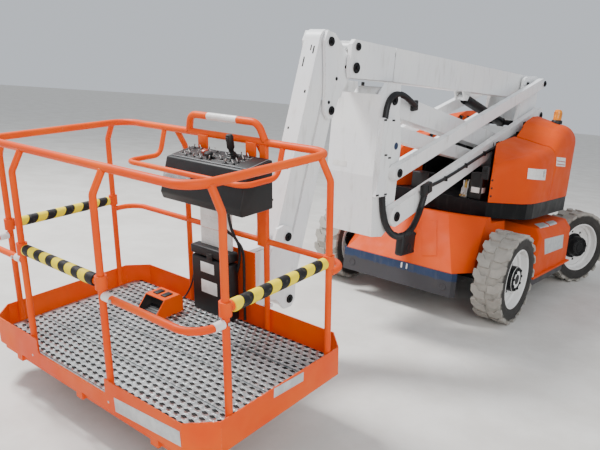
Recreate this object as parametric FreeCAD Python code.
import FreeCAD, Part
import math
import os

V = FreeCAD.Vector
os.makedirs("parts", exist_ok=True)

# Articulating boom lift. Millimetres, X forward to the platform, Y left, Z up,
# origin on the ground under the slew axis. Everything stands as parked.

GAP = 0.3                 # seat gap between fixed pieces
PIN_GAP = 0.4             # radial clearance of a pin in its hole

# Wheels and chassis
FRONT_AXLE_X = 940.0
WHEELBASE = 1900.0
REAR_AXLE_X = FRONT_AXLE_X - WHEELBASE
STEER_REST = -25.0        # the rear wheels are parked turned, degrees
OUTER_Y = 885.0
TYRE_R = 366.0
TYRE_W = 240.0
RIM_R = 243.0
KINGPIN_Y = 690.0
STUB_R = 34.0
HUB_R = 101.0
AXLE_TUBE_R = 75.0
FRAME_HALF_L = 1180.0
FRAME_HALF_W = 400.0
FRAME_Z0, FRAME_Z1 = 230.0, 560.0
BUMPER_X = FRAME_HALF_L + 178.0
BUMPER_PLATE = 46.0
BUMPER_HALF_W = 508.0
BUMPER_Z0, BUMPER_Z1 = 200.0, 390.0
TIE_X, TIE_Y, TIE_R = BUMPER_X - 23.0, 450.0, 15.0
WHEEL_Y = OUTER_Y - TYRE_W / 2
KINGPIN_R = 22.0
TRAY_X0, TRAY_X1, TRAY_Y, TRAY_Z1 = -490.0, 530.0, 815.0, 288.0
PEDESTAL_R = 420.0
PEDESTAL_Z = 700.0
RING_R, RING_BORE_R, RING_Z = 340.0, 260.0, 735.0

# Turntable
DECK_Z0, DECK_Z1 = 770.0, 905.0
HOOD_Z0 = DECK_Z1 + GAP
HOOD_INNER_Y = 342.0
HOOD_SIDE_Y = 737.0
HOOD_WALL = 10.0
HOOD_SPLIT_X = 10.0
HOOD_FRONT_X = 775.0
HOOD_TAIL_X = -790.0
HOOD_HINGE_Z = {"front": 1385.0, "rear": 1570.0}
HINGE_PIN_R = 5.0

# Riser: pin points in the side plane
ARM_L = 2600.0
ARM_ANG = math.radians(8.3)
UP1 = (1990.0, 1670.0)
UP2 = (2085.0, 1490.0)
TT1 = (UP1[0] - ARM_L * math.cos(ARM_ANG), UP1[1] - ARM_L * math.sin(ARM_ANG))
TT2 = (UP2[0] - ARM_L * math.cos(ARM_ANG), UP2[1] - ARM_L * math.sin(ARM_ANG))
UPPER_L = 2840.0
UPPER_ANG = math.radians(16.04)
CP1 = (1930.0, 1175.0)
DP1 = (1900.0, 860.0)
CP2 = (CP1[0] - UPPER_L * math.cos(UPPER_ANG), CP1[1] + UPPER_L * math.sin(UPPER_ANG))
DP2 = (DP1[0] - UPPER_L * math.cos(UPPER_ANG), DP1[1] + UPPER_L * math.sin(UPPER_ANG))
BOOM_PIN = (-560.0, 1925.0)
LIFT_BASE = (-470.0, 1545.0)
LIFT_EYE = (515.0, 1748.0)
RISER_BASE = (-350.0, 950.0)
RISER_REACH = 500.0       # from the lower arm's rear pin to the riser rods' eyes
RISER_EYE = (TT1[0] + RISER_REACH * math.cos(ARM_ANG), TT1[1] + RISER_REACH * math.sin(ARM_ANG))
EYE_GAP = 5.0             # side gap between a rod's eye and what it pushes

# Boom and jib
BOOM_X0, BOOM_X1 = -660.0, 1925.0
BOOM_HALF_W = 130.0
BOOM_Z0, BOOM_Z1 = 1795.0, 2022.0
BOOM_WALL = 10.0
NOSE_X1 = 2460.0
KNUCKLE_PIN = (2400.0, 1850.0)
LEVEL_PIN = (2400.0, 1980.0)
JIB_L = 1210.0
JIB_LEAN = math.radians(12.5)
JIB_FRONT = (2635.0, 1985.0)
JIB_REAR = (2572.0, 1575.0)
JIB_FRONT_END = (JIB_FRONT[0] + JIB_L * math.sin(JIB_LEAN), JIB_FRONT[1] - JIB_L * math.cos(JIB_LEAN))
JIB_REAR_END = (JIB_REAR[0] + JIB_L * math.sin(JIB_LEAN), JIB_REAR[1] - JIB_L * math.cos(JIB_LEAN))
JIB_HALF_W = 60.0

# Platform, in its own frame: x outward, y left, z up from the toe board's top
PLAT_POS = V(3770.0, 0.0, 425.0)
PLAT_TILT = 7.06
PLAT_X, PLAT_Y = 505.0, 859.0
TOE_H = 150.0
RAIL_Z = 943.0
RAIL_INSET = 80.0
MID_Z = 460.0
RAIL_R = 19.0
POST_R = 16.0
KINK_Z = 840.0
ROTATOR_X = -685.0
ROTATOR_SHAFT_R = 35.0
CONSOLE_X0 = -405.0
OUT_POSTS = (-405.0, 250.0)
SIDE_POSTS = 330.0
FAR_POSTS = 310.0


def box(x0, x1, y0, y1, z0, z1):
    return Part.makeBox(x1 - x0, y1 - y0, z1 - z0, V(x0, y0, z0))


def cyl(p, d, r, h):
    return Part.makeCylinder(r, h, p, d)


def rod(p, q, r):
    d = q - p
    return Part.makeCylinder(r, d.Length, p, d)


def cross_pin(xz, r, y0, y1):
    return cyl(V(xz[0], y0, xz[1]), V(0, 1, 0), r, y1 - y0)


def prism(points, axis, a0, a1):
    """Polygon extruded along Y ("y": points are x, z) or Z ("z": points are x, y) or X (y, z)."""
    if axis == "y":
        vs = [V(p[0], a0, p[1]) for p in points]
        d = V(0, a1 - a0, 0)
    elif axis == "z":
        vs = [V(p[0], p[1], a0) for p in points]
        d = V(0, 0, a1 - a0)
    else:
        vs = [V(a0, p[0], p[1]) for p in points]
        d = V(a1 - a0, 0, 0)
    return Part.Face(Part.makePolygon(vs + [vs[0]])).extrude(d)


def both(shape):
    return shape.fuse(shape.mirror(V(0, 0, 0), V(0, 1, 0)))


def fuse(shapes):
    out = shapes[0]
    if len(shapes) > 1:
        out = shapes[0].fuse(shapes[1:])
    return out.removeSplitter()


def cut(shape, tools):
    return shape.cut(tools)


def link_bar(p, q, half_h, y0, y1):
    """Flat bar in the side plane from pin p to pin q with round ends."""
    dx, dz = q[0] - p[0], q[1] - p[1]
    n = math.hypot(dx, dz)
    nx, nz = -dz / n * half_h, dx / n * half_h
    bar = prism([(p[0] + nx, p[1] + nz), (q[0] + nx, q[1] + nz),
                 (q[0] - nx, q[1] - nz), (p[0] - nx, p[1] - nz)], "y", y0, y1)
    return fuse([bar, cross_pin(p, half_h, y0, y1), cross_pin(q, half_h, y0, y1)])


def bent_tube(points, r, bend):
    """Round tube along a path of straight runs joined by tangent arcs."""
    edges = []
    start = points[0]
    for i in range(1, len(points) - 1):
        p, a, b = points[i], points[i - 1], points[i + 1]
        u, w = (a - p).normalize(), (b - p).normalize()
        turn = math.pi - u.getAngle(w)
        t = bend * math.tan(turn / 2)
        s, e = p + u * t, p + w * t
        mid = (u + w).normalize()
        m = p + mid * (bend / math.cos(turn / 2) - bend)
        edges += [Part.LineSegment(start, s).toShape(), Part.Arc(s, m, e).toShape()]
        start = e
    edges.append(Part.LineSegment(start, points[-1]).toShape())
    path = Part.Wire(edges)
    d = (points[1] - points[0]).normalize()
    profile = Part.Wire(Part.makeCircle(r, points[0], d))
    return path.makePipeShell([profile], True, False)


def fillet_where(shape, r, test):
    picked = [e for e in shape.Edges if test(e)]
    return shape.makeFillet(r, picked)


def on_platform(shape):
    s = shape.copy()
    s.Placement = FreeCAD.Placement(PLAT_POS, FreeCAD.Rotation(V(0, 1, 0), PLAT_TILT)).multiply(s.Placement)
    return s


def save(name, shape):
    shape.exportStep("parts/" + name + ".step")


# Chassis frame: box frame, side trays, bumpers, rear kingpin beam and slew pedestal
frame = [box(-FRAME_HALF_L, FRAME_HALF_L, -FRAME_HALF_W, FRAME_HALF_W, FRAME_Z0, FRAME_Z1),
         cyl(V(0, 0, FRAME_Z1 - 1), V(0, 0, 1), PEDESTAL_R, PEDESTAL_Z - FRAME_Z1 + 1),
         cyl(V(0, 0, PEDESTAL_Z - 1), V(0, 0, 1), RING_R, RING_Z - PEDESTAL_Z + 1)]
for s in (1, -1):
    x0, x1 = sorted((s * (FRAME_HALF_L - 1), s * (BUMPER_X - BUMPER_PLATE + 1)))
    frame.append(box(x0, x1, -380, 380, FRAME_Z0 + 10, BUMPER_Z1 - 5))
    plan = [(s * BUMPER_X, -BUMPER_HALF_W), (s * BUMPER_X, BUMPER_HALF_W),
            (s * (BUMPER_X - BUMPER_PLATE), BUMPER_HALF_W + 24), (s * (BUMPER_X - BUMPER_PLATE), -BUMPER_HALF_W - 24)]
    frame.append(prism(plan, "z", BUMPER_Z0, BUMPER_Z1))
    y0, y1 = sorted((s * (FRAME_HALF_W - 1), s * TRAY_Y))
    frame.append(box(TRAY_X0, TRAY_X1, y0, y1, TRAY_Z1 - 98, TRAY_Z1))
frame.append(box(REAR_AXLE_X - 54, REAR_AXLE_X + 54, -KINGPIN_Y - 30, KINGPIN_Y + 30, 300, 432))
fork = [box(REAR_AXLE_X - 61, REAR_AXLE_X + 61, *sorted((s * (KINGPIN_Y - 66), s * (KINGPIN_Y + 36))), 325, 407)
        for s in (1, -1)]
kingpin_holes = [cyl(V(REAR_AXLE_X, s * KINGPIN_Y, 290), V(0, 0, 1), KINGPIN_R + PIN_GAP, 160) for s in (1, -1)]
bore = cyl(V(0, 0, FRAME_Z1 + 20), V(0, 0, 1), RING_BORE_R, 400)
tie_holes = [cyl(V(s * TIE_X, t * TIE_Y, BUMPER_Z0 - 1), V(0, 0, 1), TIE_R, BUMPER_Z1 - BUMPER_Z0 + 2)
             for s in (1, -1) for t in (1, -1)]
save("chassis_frame", cut(fuse(frame), [bore] + fork + kingpin_holes + tie_holes))

# Front drive axle: a beam and a spindle each side, let into the frame's sides
axle_halves = []
for s in (1, -1):
    y0, y1 = sorted((s * (FRAME_HALF_W + GAP), s * (OUTER_Y - TYRE_W - 20)))
    beam = box(FRONT_AXLE_X - 65, FRONT_AXLE_X + 65, y0, y1, TYRE_R - 65, TYRE_R + 65)
    tube = cyl(V(FRONT_AXLE_X, s * (FRAME_HALF_W + GAP), TYRE_R), V(0, s, 0), AXLE_TUBE_R, WHEEL_Y - 24 - FRAME_HALF_W)
    spindle = cyl(V(FRONT_AXLE_X, s * (WHEEL_Y - 30), TYRE_R), V(0, s, 0), STUB_R, 90)
    axle_halves.append(fuse([beam, tube, spindle]))
save("front_axle", Part.makeCompound(axle_halves))

# Steering knuckles with stub axles, turned with the parked wheels
for side, s in (("left", 1), ("right", -1)):
    kingpin = V(REAR_AXLE_X, s * KINGPIN_Y, 0)
    knuckle = fuse([cyl(kingpin + V(0, 0, 330), V(0, 0, 1), 48, 72), cyl(kingpin + V(0, 0, 302), V(0, 0, 1), KINGPIN_R, 128),
                    cyl(kingpin + V(0, 0, TYRE_R), V(0, s, 0), STUB_R, WHEEL_Y - KINGPIN_Y + 10)])
    knuckle.rotate(kingpin, V(0, 0, 1), STEER_REST)
    save("knuckle_" + side, knuckle)

# Wheels: solid tyre with chevron lugs on a deep dished rim that carries the hub
LUGS = 18
LUG_BACK = 58.0
LUG_FACE = math.sqrt(TYRE_R ** 2 - LUG_BACK ** 2)
LUG_H = 18.0
TREAD_R = TYRE_R - LUG_H
SIDE_R = RIM_R + 34
rim_section = [(RIM_R, 105), (RIM_R - 10, 107), (RIM_R - 15, 98), (RIM_R - 15, 52), (RIM_R - 40, 42), (RIM_R - 40, 28),
               (RIM_R - 70, 14), (HUB_R, 14)]
rim_back = [(STUB_R + PIN_GAP, -14), (HUB_R, -14), (RIM_R - 62, 2), (RIM_R - 28, 17), (RIM_R - 28, 33), (RIM_R - 15, 39),
            (RIM_R - 15, -105), (RIM_R, -105)]
wheels = [("front_left", 1, 96.0), ("front_right", -1, 96.0), ("rear_left", 1, 24.0), ("rear_right", -1, 24.0)]
for name, s, hub_y in wheels:
    half = TYRE_W / 2
    pts = [(RIM_R + GAP, -105), (RIM_R + GAP, 105), (SIDE_R, half - 2), (TREAD_R - 28, half - 2), (TREAD_R, half - 18),
           (TREAD_R, 18 - half), (TREAD_R - 28, 2 - half), (SIDE_R, 2 - half)]
    wire = Part.makePolygon([V(p[0], p[1], 0) for p in pts + [pts[0]]])
    tyre = Part.Face(wire).revolve(V(0, 0, 0), V(0, 1, 0), 360)
    lug_plan = [(10, 4), (10, -LUG_BACK), (half - 44, -LUG_BACK), (half, -10), (half, 44), (half - 34, 44), (half - 62, 4)]
    lugs = []
    for k in range(LUGS):
        for side, phase in ((1, 0.0), (-1, 0.5)):
            lug = Part.Face(Part.makePolygon([V(TREAD_R - 14, side * p[0], p[1]) for p in lug_plan + [lug_plan[0]]]))
            lug = lug.extrude(V(LUG_FACE - TREAD_R + 14, 0, 0))
            lug.rotate(V(0, 0, 0), V(0, 1, 0), (k + phase) * 360.0 / LUGS)
            lugs.append(lug)
    rim_pts = rim_section + [(HUB_R, hub_y), (HUB_R - 12, hub_y + 8), (0, hub_y + 8), (0, hub_y - 34 + 14),
                             (STUB_R + PIN_GAP, hub_y - 20)] + rim_back
    if hub_y < 50:
        rim_pts = rim_section + [(HUB_R, hub_y), (HUB_R - 12, hub_y + 8), (STUB_R + PIN_GAP, hub_y + 8)] + rim_back
    wire = Part.makePolygon([V(p[0], s * p[1], 0) for p in rim_pts + [rim_pts[0]]])
    rim = Part.Face(wire).revolve(V(0, 0, 0), V(0, 1, 0), 360)
    tyre = tyre.fuse(lugs)
    tyre.rotate(V(0, 0, 0), V(0, 1, 0), 90 - math.degrees(math.atan2(LUG_BACK, LUG_FACE)))
    for node, shape in (("tyre_", tyre), ("rim_", rim)):
        front = name.startswith("front")
        shape.translate(V(FRONT_AXLE_X if front else REAR_AXLE_X, s * WHEEL_Y, TYRE_R))
        if not front:
            shape.rotate(V(REAR_AXLE_X, s * KINGPIN_Y, 0), V(0, 0, 1), STEER_REST)
        save(node + name, shape)


# Half of the turntable deck's outline, and the circle that its farthest corner needs as it slews
half_plan = [(HOOD_FRONT_X - 8, 0), (HOOD_FRONT_X - 8, 465), (485, HOOD_SIDE_Y - 30), (380, HOOD_SIDE_Y - 8),
             (HOOD_TAIL_X + 260, HOOD_SIDE_Y - 8), (HOOD_TAIL_X + 130, HOOD_SIDE_Y - 60), (HOOD_TAIL_X + 60, 592),
             (HOOD_TAIL_X + 5, 490), (HOOD_TAIL_X + 5, 0)]
DECK_SWEEP_R = max(math.hypot(x, y) for x, y in half_plan) + 8

# Front cover: moulded shell over the frame's nose, a tapered body between two outlines
COVER_Z1 = 790.0
COVER_WALL = 9.0
cover_base = [(BUMPER_X - 14, 495), (BUMPER_X - 190, 590), (560, 600)]
cover_top = [(BUMPER_X - 350, 250), (BUMPER_X - 500, 520), (560, 560)]


def cover_solid(inset):
    rings = []
    for z in (BUMPER_Z1 + GAP - 2 * inset, COVER_Z1 - inset):
        t = (z - BUMPER_Z1 - GAP) / (COVER_Z1 - BUMPER_Z1 - GAP)
        ring = [(b[0] + (c[0] - b[0]) * t - inset, b[1] + (c[1] - b[1]) * t - inset) for b, c in zip(cover_base, cover_top)]
        ring[-1] = (560 - 2 * inset, ring[-1][1])
        ring = [(x, -y) for x, y in ring] + [(x, y) for x, y in reversed(ring)]
        rings.append(Part.makePolygon([V(x, y, z) for x, y in ring + [ring[0]]]))
    body = Part.makeLoft(rings, True, True)
    return cut(body, [cyl(V(0, 0, DECK_Z0 - 25 - inset), V(0, 0, 1), DECK_SWEEP_R + inset, 100)])


axle_room = box(500, FRONT_AXLE_X + 130, -700, 700, 300, TYRE_R + AXLE_TUBE_R + 8)
frame_room = box(500, FRAME_HALF_L + GAP, -FRAME_HALF_W - GAP, FRAME_HALF_W + GAP, 300, FRAME_Z1 + GAP)
save("front_cover", cut(cover_solid(0), [cover_solid(COVER_WALL), axle_room, frame_room]))

# Side covers between the wheels: moulded boxes with a foot flange, open inwards
SIDE_COVER = {"x0": -500.0, "x1": 540.0, "face_y": 842.0, "top": 690.0, "flange": 870.0}


def side_cover_solid(inset):
    i, c = inset, SIDE_COVER
    y, top = c["face_y"] - i, c["top"] - i
    profile = [(FRAME_HALF_W + GAP - 3 * i, TRAY_Z1 + GAP - 3 * i), (y, TRAY_Z1 + GAP - 3 * i), (y - 8, top - 70), (y - 62, top),
               (FRAME_HALF_W + GAP - 3 * i, top + 22)]
    body = prism(profile, "x", c["x0"] + i, c["x1"] - i)
    nose = [(c["x1"] - 10 - i, TRAY_Z1 - 60), (c["x1"] + 50, TRAY_Z1 - 60), (c["x1"] + 50, top + 60), (c["x1"] - 230 - i, top + 60)]
    return cut(body, [prism(nose, "y", 300, 900)])


cover = fillet_where(side_cover_solid(0), 28, lambda e: e.BoundBox.YMin > 700 and e.BoundBox.ZMax > 400)
cover = fuse([cover, box(SIDE_COVER["x0"], SIDE_COVER["x1"] - 12, SIDE_COVER["face_y"] - 40, SIDE_COVER["flange"],
                         TRAY_Z1 + GAP, TRAY_Z1 + GAP + 14)])
cover = cut(cover, [side_cover_solid(COVER_WALL), cyl(V(0, 0, 500), V(0, 0, 1), PEDESTAL_R + GAP, 300)])
save("side_covers", Part.makeCompound([cover, cover.mirror(V(0, 0, 0), V(0, 1, 0))]))

# Turntable deck with counterweight, riser posts, hood partitions and the units under the hoods
PARTITION_Y0, PARTITION_Y1 = HOOD_INNER_Y - 30, HOOD_INNER_Y - 22
HINGE_Y = HOOD_INNER_Y - 11
deck = [both(prism(half_plan, "z", DECK_Z0, DECK_Z1)),
        cyl(V(0, 0, RING_Z + 6), V(0, 0, 1), 400, DECK_Z0 - RING_Z),
        cyl(V(0, 0, RING_Z - 60), V(0, 0, 1), RING_BORE_R - 0.5, 120),
        box(HOOD_TAIL_X + 6, TT1[0] - 75, -320, 320, DECK_Z1 - 1, 1240)]
post_side = [(-137, DECK_Z1 - 1), (183, DECK_Z1 - 1), (153, 1180), (83, 1385), (-67, 1385), (-117, 1180)]
deck += [prism([(TT1[0] + x, z) for x, z in post_side], "y", *sorted((s * 155, s * 185))) for s in (1, -1)]
foot = [(-50, DECK_Z1 - 1), (60, DECK_Z1 - 1), (35, RISER_BASE[1] + 35), (-35, RISER_BASE[1] + 35)]
deck += [prism([(RISER_BASE[0] + x, z) for x, z in foot], "y", *sorted((s * y, s * (y + 14))))
         for s in (1, -1) for y in (98, 182)]
for s in (1, -1):
    y0, y1 = sorted((s * PARTITION_Y0, s * PARTITION_Y1))
    deck += [box(-520, -60, *sorted((s * 400, s * 600)), DECK_Z1 - 1, 1330),
             box(120, 400, *sorted((s * 390, s * 600)), DECK_Z1 - 1, 1180),
             box(-640, 420, y0, y1, DECK_Z1 - 1, 1330), box(-640, -85, y0, y1, DECK_Z1 - 1, 1480)]
    for name, x0, pitch in (("front", 40, 160), ("rear", -600, 180)):
        z = HOOD_HINGE_Z[name]
        for k in range(3):
            x = x0 + k * pitch
            deck += [box(x - 8, x + 8, *sorted((s * PARTITION_Y0, s * HINGE_Y)), z - 100, z),
                     cyl(V(x - 8, s * HINGE_Y, z), V(1, 0, 0), HINGE_PIN_R + 4, 16)]
        deck.append(cyl(V(x0, s * HINGE_Y, z), V(1, 0, 0), HINGE_PIN_R, 2 * pitch))
deck = fuse(deck)
pin_holes = [cross_pin(TT1, 30 + PIN_GAP, -200, 200), cross_pin(TT2, 25 + PIN_GAP, -200, 200),
             cross_pin(RISER_BASE, 15 + PIN_GAP, -220, 220)]
save("turntable_deck", cut(deck, pin_holes))


# Hoods: rotomoulded shells with a rounded shoulder, open below and inwards, hung on hinge sleeves
# Stations from the split to the end: x, y of the side, z of the inner edge, fall to the shoulder, its radius
hood_stations = {
    "front": [(HOOD_SPLIT_X + 4, HOOD_SIDE_Y, 1438, 57, 108), (170, HOOD_SIDE_Y, 1418, 57, 105),
              (320, HOOD_SIDE_Y - 3, 1396, 57, 100), (440, HOOD_SIDE_Y - 15, 1374, 57, 95), (550, 676, 1347, 57, 90),
              (650, 591, 1312, 50, 80), (725, 519, 1252, 40, 70), (HOOD_FRONT_X, 475, 1165, 30, 60)],
    "rear": [(HOOD_SPLIT_X - 4, HOOD_SIDE_Y, 1438, 57, 108), (-110, HOOD_SIDE_Y, 1515, 58, 125),
             (-240, HOOD_SIDE_Y, 1585, 60, 145), (-390, HOOD_SIDE_Y - 1, 1628, 60, 162),
             (-530, HOOD_SIDE_Y - 4, 1636, 60, 165), (-650, 690, 1620, 60, 155), (-735, 600, 1578, 55, 130),
             (HOOD_TAIL_X, 500, 1500, 45, 100)]}


def hood_section(x, y, z, fall, radius, inset):
    r = radius - inset
    inner, base, cy, cz = HOOD_INNER_Y + inset, HOOD_Z0 - 3 * inset, y - radius, z - fall - radius
    k = r * math.sqrt(0.5)
    corners = [V(x, cy, cz + r), V(x, inner, z - inset), V(x, inner, base), V(x, cy + r, base), V(x, cy + r, cz)]
    shoulder = Part.Arc(corners[-1], V(x, cy + k, cz + k), corners[0])
    return Part.Wire([Part.LineSegment(p, q).toShape() for p, q in zip(corners, corners[1:])] + [shoulder.toShape()])


def hood_solid(stations, inset):
    inward = math.copysign(inset, stations[-1][0])
    xs = [stations[0][0] + inward] + [p[0] for p in stations[1:-1]] + [stations[-1][0] - inward]
    body = Part.makeLoft([hood_section(x, *station[1:], inset) for x, station in zip(xs, stations)], True, True)
    if stations[-1][0] < 0:
        return body
    y0, y1 = HOOD_INNER_Y + 1.1 * inset, stations[-1][1] + 1.1 * inset
    return cut(body, [prism([(430, HOOD_INNER_Y - 9), (430, y0), (HOOD_FRONT_X, y1), (HOOD_FRONT_X + 9, y1 + 3),
                             (HOOD_FRONT_X + 9, HOOD_INNER_Y - 9)], "z", HOOD_Z0 - 60, 1700)])


for name, x0, pitch in (("front", 40, 160), ("rear", -600, 180)):
    shell = cut(hood_solid(hood_stations[name], 0), [hood_solid(hood_stations[name], HOOD_WALL)])
    z = HOOD_HINGE_Z[name]
    inner_x = (-740, HOOD_SPLIT_X - 3) if name == "rear" else (HOOD_SPLIT_X + 3, 425)
    split_y1 = HOOD_SIDE_Y - HOOD_WALL - 10
    open_sides = [box(*inner_x, HOOD_INNER_Y - 1, HOOD_INNER_Y + HOOD_WALL + 1, HOOD_Z0 - 1, z - 40),
                  box(HOOD_SPLIT_X - 16, HOOD_SPLIT_X + 16, HOOD_INNER_Y - 1, split_y1, HOOD_Z0 - 1, z - 120)]
    sleeves, bores = [], []
    for k in (0.5, 1.5):
        x = x0 + k * pitch
        sleeves += [cyl(V(x - 30, HINGE_Y, z), V(1, 0, 0), HINGE_PIN_R + 4, 60),
                    box(x - 30, x + 30, HINGE_Y, HOOD_INNER_Y + 2, z - 4, z + 4)]
        bores.append(cyl(V(x - 40, HINGE_Y, z), V(1, 0, 0), HINGE_PIN_R + PIN_GAP, 80))
    left = cut(fuse([cut(shell, open_sides)] + sleeves), bores)
    save("hood_" + name + "_left", left)
    save("hood_" + name + "_right", left.mirror(V(0, 0, 0), V(0, 1, 0)))

# Ground control box and valve block
save("ground_controls", Part.makeCompound([box(600, 730, 278, 388, DECK_Z1 + GAP, DECK_Z1 + 225),
                                           box(560, 690, -300, -130, DECK_Z1 + GAP, DECK_Z1 + 155)]))

# Beacon: foot cut to the rear hood's slope, domed lens
BEACON_AT = V(-530, 530, 1612)
foot = cut(cyl(BEACON_AT - V(0, 0, 70), V(0, 0, 1), 50, 70), [hood_solid(hood_stations["rear"], -GAP)])
lens = fillet_where(cyl(BEACON_AT - V(0, 0, 1), V(0, 0, 1), 38, 104), 16, lambda e: e.BoundBox.ZMin > BEACON_AT.z + 60)
save("beacon", fuse([foot, lens]))

# Lower arm and its link, turntable to upright
RISER_Y, RISER_EYE_W = 147.0, 30.0
boss_y = RISER_Y - RISER_EYE_W - EYE_GAP
save("lower_arm", fuse([link_bar(TT1, UP1, 82.5, -90, 90), cross_pin(TT1, 30, -190, 190), cross_pin(UP1, 30, -200, 200),
                        cross_pin(RISER_EYE, 36, -boss_y, boss_y)]))
lower2 = [link_bar(TT2, UP2, 55, -70, 70), cross_pin(TT2, 25, -190, 190), cross_pin(UP2, 25, -180, 180)]
save("lower_link", fuse(lower2))

# Upright
upright_side = [(1830, 1400), (1900, 1600), (1920, 1782), (2090, 1782), (2160, 1700), (2160, 1150), (2095, 720),
                (1960, 705), (1830, 780)]
upright = [prism(upright_side, "y", *sorted((s * 165, s * 195))) for s in (1, -1)]
front = [(2160, 1700), (2160, 1150), (2095, 720), (2080, 722), (2145, 1152), (2145, 1694)]
upright.append(prism(front, "y", -166, 166))
upright.append(prism([(1960, 705), (2095, 720), (2095, 735), (1960, 722)], "y", -166, 166))
for p, r in ((CP1, 28), (DP1, 32)):
    upright += [cross_pin(p, r, *sorted((s * 190, s * 268))) for s in (1, -1)]
upright.append(box(2010, 2140, 194, 226, 1010, 1550))
upright = cut(fuse(upright), [cross_pin(UP1, 30 + PIN_GAP, -210, 210), cross_pin(UP2, 25 + PIN_GAP, -182, 182)])
save("upright", upright)

# Upper arm and its link, upright to rear bracket
for name, p, q, half_h, w, front_r, rear_r in (("upper_arm", DP1, DP2, 75, 60, 32, 30),
                                               ("upper_link", CP1, CP2, 50, 50, 28, 26)):
    holes = [cross_pin(p, front_r + PIN_GAP, -280, 280), cross_pin(q, rear_r + PIN_GAP, -280, 280)]
    save(name, Part.makeCompound([cut(link_bar(p, q, half_h, *sorted((s * 203, s * (203 + w)))), holes) for s in (1, -1)]))

# Rear bracket: carries the boom
bracket_side = [(DP2[0] - 86, DP2[1] - 85), (DP2[0] + 190, DP2[1] - 85), (LIFT_BASE[0] - 60, LIFT_BASE[1] - 50),
                (LIFT_BASE[0] + 30, LIFT_BASE[1] - 50), (LIFT_BASE[0] + 58, LIFT_BASE[1]),
                (LIFT_BASE[0] + 30, LIFT_BASE[1] + 95), (BOOM_PIN[0] + 80, BOOM_PIN[1] - 75),
                (BOOM_PIN[0] + 80, BOOM_PIN[1] + 60), (BOOM_PIN[0], BOOM_PIN[1] + 80),
                (CP2[0] - 31, CP2[1] + 70), (CP2[0] - 91, CP2[1] + 30)]
bracket = [prism(bracket_side, "y", *sorted((s * 146, s * 176))) for s in (1, -1)]
bracket += [box(DP2[0] - 71, DP2[0] + 190, -147, 147, DP2[1] - 85, DP2[1] - 67),
            box(DP2[0] - 86, DP2[0] - 69, -147, 147, DP2[1] - 84, CP2[1] - 60)]
for p, r in ((DP2, 30), (CP2, 26)):
    bracket += [cross_pin(p, r, *sorted((s * 147, s * 270))) for s in (1, -1)]
bracket = cut(fuse(bracket), [cross_pin(BOOM_PIN, 32 + PIN_GAP, -280, 280), cross_pin(LIFT_BASE, 26 + PIN_GAP, -280, 280)])
save("rear_bracket", bracket)

# Cylinders: barrel on its base pin, rod in the barrel's bore, its pin closed in its eye
def cylinder(base, eye, y, barrel_r, rod_r, barrel_len, eye_w, eye_r):
    b, e = V(base[0], y, base[1]), V(eye[0], y, eye[1])
    d = (e - b).normalize()
    barrel = fuse([cyl(b + d * 40, d, barrel_r, barrel_len - 40),
                   cyl(b - V(0, eye_w, 0), V(0, 1, 0), 42, 2 * eye_w)])
    barrel = cut(barrel, [cyl(b + d * 55, d, rod_r + 1, barrel_len)])
    return barrel, fuse([cyl(b + d * 65, d, rod_r, (e - b).Length - 65),
                         cyl(e - V(0, eye_w, 0), V(0, 1, 0), eye_r, 2 * eye_w)])


LIFT_EYE_W = 28.0
barrel, piston = cylinder(LIFT_BASE, LIFT_EYE, 0, 45, 25, 930, LIFT_EYE_W, 30)
save("lift_barrel", fuse([barrel, cross_pin(LIFT_BASE, 26, -180, 180)]))
save("lift_rod", piston)
barrels, pistons = [], []
for s in (1, -1):
    barrel, piston = cylinder(RISER_BASE, RISER_EYE, s * RISER_Y, 33, 20, 450, RISER_EYE_W, 28)
    barrels.append(barrel)
    pistons.append(piston)
save("riser_barrels", fuse(barrels + [cross_pin(RISER_BASE, 15, -196, 196)]))
save("riser_rods", Part.makeCompound(pistons))

# Boom: outer box and the telescoping inner box with the nose
outer = box(BOOM_X0, BOOM_X1, -BOOM_HALF_W, BOOM_HALF_W, BOOM_Z0, BOOM_Z1)
outer = cut(outer, [box(-520, BOOM_X1 + 10, -BOOM_HALF_W + BOOM_WALL, BOOM_HALF_W - BOOM_WALL,
                        BOOM_Z0 + BOOM_WALL, BOOM_Z1 - BOOM_WALL)])
lug_y = LIFT_EYE_W + EYE_GAP
lug_side = [(-80, BOOM_Z0 + 1), (80, BOOM_Z0 + 1), (28, LIFT_EYE[1] - 28), (-28, LIFT_EYE[1] - 28)]
lug = fuse([prism([(LIFT_EYE[0] + x, z) for x, z in lug_side], "y", lug_y, lug_y + 14),
            cross_pin(LIFT_EYE, 22, lug_y + 13, lug_y + 22)])
outer = fuse([outer, cross_pin(BOOM_PIN, 32, -182, 182), lug, lug.mirror(V(0, 0, 0), V(0, 1, 0))])
save("boom_outer", outer)
INNER_HALF_W = 106.0
inner = box(-450, 2120, -INNER_HALF_W, INNER_HALF_W, BOOM_Z0 + 22, BOOM_Z1 - 22)
inner = cut(inner, [box(-460, 2112, -INNER_HALF_W + 8, INNER_HALF_W - 8, BOOM_Z0 + 30, BOOM_Z1 - 30)])
pads = [box(-450, -350, -119.5, 119.5, BOOM_Z0 + 10.5, BOOM_Z0 + 23), box(-450, -350, -119.5, 119.5, BOOM_Z1 - 23, BOOM_Z1 - 10.5),
        box(-450, -350, 105, 119.5, 1850, 1960), box(-450, -350, -119.5, -105, 1850, 1960)]
nose = [prism([(1935, BOOM_Z0), (2445, BOOM_Z0 - 10), (NOSE_X1, 1830), (NOSE_X1, 1990), (2430, BOOM_Z1),
               (1935, BOOM_Z1)], "y", *sorted((s * 100, s * 130))) for s in (1, -1)]
nose += [box(1935, 2330, -101, 101, BOOM_Z1 - 23, BOOM_Z1), box(1935, 2110, -101, 101, BOOM_Z0, BOOM_Z0 + 23)]
nose += [cross_pin(LEVEL_PIN, 20, -136, 136)]
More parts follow.
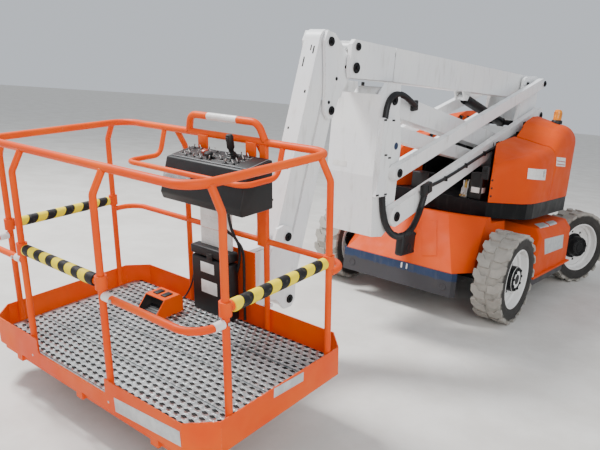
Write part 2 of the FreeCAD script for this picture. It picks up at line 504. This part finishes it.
inner = cut(fuse([inner] + pads + nose), [cross_pin(KNUCKLE_PIN, 28 + PIN_GAP, -140, 140)])
save("boom_inner", inner)

# Jib: knuckle, two parallel links and the head with the rotator
knuckle_side = [(2345, 1830), (2365, 1905), (2425, 1918), (2590, 2040), (2665, 2045), (2690, 1985), (2650, 1780),
                (2630, 1560), (2590, 1520), (2540, 1530), (2500, 1640), (2390, 1795)]
knuckle = [prism(knuckle_side, "y", *sorted((s * 68, s * 88))) for s in (1, -1)]
knuckle += [box(2440, 2500, -69, 69, 1660, 1780), cross_pin(KNUCKLE_PIN, 28, -136, 136)]
knuckle = cut(fuse(knuckle), [cross_pin(JIB_FRONT, 25 + PIN_GAP, -100, 100),
                              cross_pin(JIB_REAR, 25 + PIN_GAP, -100, 100)])
save("jib_knuckle", knuckle)
save("jib_main", fuse([link_bar(JIB_REAR, JIB_REAR_END, 60, -JIB_HALF_W, JIB_HALF_W),
                       cross_pin(JIB_REAR, 25, -96, 96), cross_pin(JIB_REAR_END, 25, -96, 96)]))
save("jib_link", fuse([link_bar(JIB_FRONT, JIB_FRONT_END, 70, -JIB_HALF_W, JIB_HALF_W),
                       cross_pin(JIB_FRONT, 25, -96, 96), cross_pin(JIB_FRONT_END, 25, -96, 96)]))
head_side = [(2770, 380), (2800, 335), (2870, 330), (2950, 405), (3045, 432), (3045, 690), (2990, 860),
             (2930, 880), (2860, 860), (2830, 780), (2775, 460)]
head = [prism(head_side, "y", *sorted((s * 68, s * 88))) for s in (1, -1)]
head.append(box(2985, 3040, -69, 69, 420, 680))
housing = on_platform(cyl(V(ROTATOR_X, 0, -120), V(0, 0, 1), 80, 360))
head.append(housing)
head = cut(fuse(head), [cross_pin(JIB_FRONT_END, 25 + PIN_GAP, -100, 100),
                        cross_pin(JIB_REAR_END, 25 + PIN_GAP, -100, 100),
                        on_platform(cyl(V(ROTATOR_X, 0, -130), V(0, 0, 1), ROTATOR_SHAFT_R + PIN_GAP, 400))])
save("jib_head", head)

# Platform floor: four planks inside the posts, on the subframe
T = 5.0
X, Y = PLAT_X, PLAT_Y
CH = 110.0
post_x, post_y = X - T - POST_R - GAP, Y - T - POST_R - GAP
floor_x, floor_y = post_x - POST_R - 3, post_y - POST_R - 3
FLOOR_Z0, FLOOR_Z1 = -TOE_H + GAP, -TOE_H + 42
PLANKS = 4


def ring_plan(i):
    x, y, c = X - i, Y - i, CH - 0.4 * i
    return [(x - c, -y), (x, -y + c), (x, y - c), (x - c, y), (-x + c, y), (-x, y - c), (-x, -y + c), (-x + c, -y)]


plank_w = 2 * floor_x / PLANKS
planks = [box(-floor_x, floor_x, -floor_y, floor_y, FLOOR_Z0, FLOOR_Z1 - 6)]
planks += [box(-floor_x + k * plank_w + 6, -floor_x + (k + 1) * plank_w - 6, -floor_y, floor_y, FLOOR_Z1 - 7, FLOOR_Z1)
           for k in range(PLANKS)]
save("platform_floor", on_platform(fuse(planks).common(prism(ring_plan(T + 2), "z", -TOE_H - 10, 0))))

# Platform frame: toe boards with a gate step, subframe and back plate
toe = cut(prism(ring_plan(0), "z", -TOE_H, 0), [prism(ring_plan(T), "z", -TOE_H - 1, 1)])
gate_step = box(X - 30, X + 10, OUT_POSTS[0] + 60, OUT_POSTS[1] - 20, -75, 1)
frame = [cut(toe, [gate_step])]
frame += [box(-X + T - 1, X - T + 1, y - 25, y + 25, -TOE_H - 45, -TOE_H) for y in (-560, 0, 560)]
frame += [box(x - 20, x + 20, -Y + 120, Y - 120, -TOE_H - 40, -TOE_H) for x in (-X + 40, X - 40)]
frame.append(box(-X - 6, -X + 1, -200, 200, -TOE_H - 45, 300))
save("platform_frame", on_platform(fuse(frame)))

# Rotator bracket: two plates round the rotator's shaft, bolted to the back plate
mount = [box(ROTATOR_X - 90, -X - 6 - GAP, -90, 90, z, z + 20) for z in (-150, 250)]
mount += [cyl(V(ROTATOR_X, 0, -149), V(0, 0, 1), ROTATOR_SHAFT_R, 400), box(-X - 26, -X - 6 - GAP, -120, 120, -170, 290)]
save("platform_mount", on_platform(fuse(mount)))


# Guard rails: top rail in two halves, inner bar, corner mid rails and console guard
def bar(points, r, bend):
    return bent_tube([V(*p) for p in points], r, bend)


def top_rail(r):
    half = bar([(GAP, -rail_y, RAIL_Z), (rail_x, -rail_y, RAIL_Z), (rail_x, rail_y, RAIL_Z), (GAP, rail_y, RAIL_Z)], r, 110)
    return [half, half.mirror(V(0, 0, 0), V(1, 0, 0))]


rail_x, rail_y = X - RAIL_INSET, Y - RAIL_INSET
posts = [(s * post_x, s * rail_x, y, y) for s, ys in ((1, OUT_POSTS), (-1, (-FAR_POSTS, FAR_POSTS))) for y in ys]
posts += [(x, x, s * post_y, s * rail_y) for s in (1, -1) for x in (SIDE_POSTS, -SIDE_POSTS)]
post_tubes = [bar([(x, y, FLOOR_Z0), (x, y, KINK_Z), (tx, ty, RAIL_Z)], POST_R, 40) for x, tx, y, ty in posts]
rail_room = top_rail(RAIL_R + GAP)
save("platform_posts", on_platform(Part.makeCompound([cut(p, rail_room) for p in post_tubes])))
post_room = [bar([(x, y, FLOOR_Z0 - 1), (x, y, KINK_Z), (tx, ty, RAIL_Z)], POST_R + GAP, 40) for x, tx, y, ty in posts]
corners = [(-post_x, -FAR_POSTS, -SIDE_POSTS, -post_y), (-post_x, FAR_POSTS, -SIDE_POSTS, post_y),
           (post_x, OUT_POSTS[1], SIDE_POSTS, post_y), (post_x, OUT_POSTS[0], SIDE_POSTS, -post_y)]
save("platform_top_rail", on_platform(Part.makeCompound(top_rail(RAIL_R))))
rails = [cut(bar([(x, y, MID_Z - 60), (x, ey, MID_Z - 60), (ex, ey, MID_Z - 60)], POST_R, 110), post_room)
          for x, y, ex, ey in corners]
rails.append(cut(bar([(-post_x, -FAR_POSTS, MID_Z - 60), (-post_x, FAR_POSTS, MID_Z - 60)], POST_R, 0), post_room))
rails.append(cut(bar([(-rail_x, -200, RAIL_Z), (-rail_x + 15, -165, 1040), (-rail_x + 15, 330, 1040), (-rail_x, 365, RAIL_Z)],
                     RAIL_R, 60), rail_room))
rails.append(cut(bar([(-rail_x, -410, RAIL_Z), (-rail_x + 45, -410, 790), (-150, -410, 790), (-150, 480, 790),
                      (-rail_x + 45, 480, 790), (-rail_x, 480, RAIL_Z)], 14, 60), rail_room))
hangers = [box(-rail_x - 6, CONSOLE_X0 - GAP, y, y + 40, 640, RAIL_Z - 12) for y in (-110, 340)]
rails += [cut(h, rail_room) for h in hangers]
save("platform_rails", on_platform(Part.makeCompound(rails)))


# Entry bars: tube between two collars that ride on the posts
def entry_bar(p, q):
    d = (q - p).normalize()
    bar = [rod(p + d * 22, q - d * 22, RAIL_R)]
    bar += [cyl(c - V(0, 0, 30), V(0, 0, 1), 26, 60) for c in (p, q)]
    return cut(fuse(bar), [cyl(c - V(0, 0, 40), V(0, 0, 1), POST_R + 0.6, 80) for c in (p, q)])


save("entry_bar_outer", on_platform(entry_bar(V(post_x, OUT_POSTS[0], MID_Z), V(post_x, OUT_POSTS[1], MID_Z))))
for side, s in (("left", 1), ("right", -1)):
    ends = [V(x, s * post_y, MID_Z) for x in (-SIDE_POSTS, SIDE_POSTS)]
    save("entry_bar_" + side, on_platform(entry_bar(*ends)))

# Console, document box and foot pedal
console_side = [(0, 620), (220, 620), (235, 660), (180, 840), (0, 868)]
save("console", on_platform(prism([(CONSOLE_X0 + x, z) for x, z in console_side], "y", -160, 430)))
box_x = -post_x + POST_R + GAP
save("document_box", on_platform(box(box_x, box_x + 70, -205, 115, FLOOR_Z1 + GAP, 300)))
pedal = [(-330, FLOOR_Z1 + GAP), (-130, FLOOR_Z1 + GAP), (-130, FLOOR_Z1 + 30), (-200, FLOOR_Z1 + 110),
         (-310, FLOOR_Z1 + 110), (-330, FLOOR_Z1 + 90)]
save("foot_pedal", on_platform(prism(pedal, "y", -390, -220)))
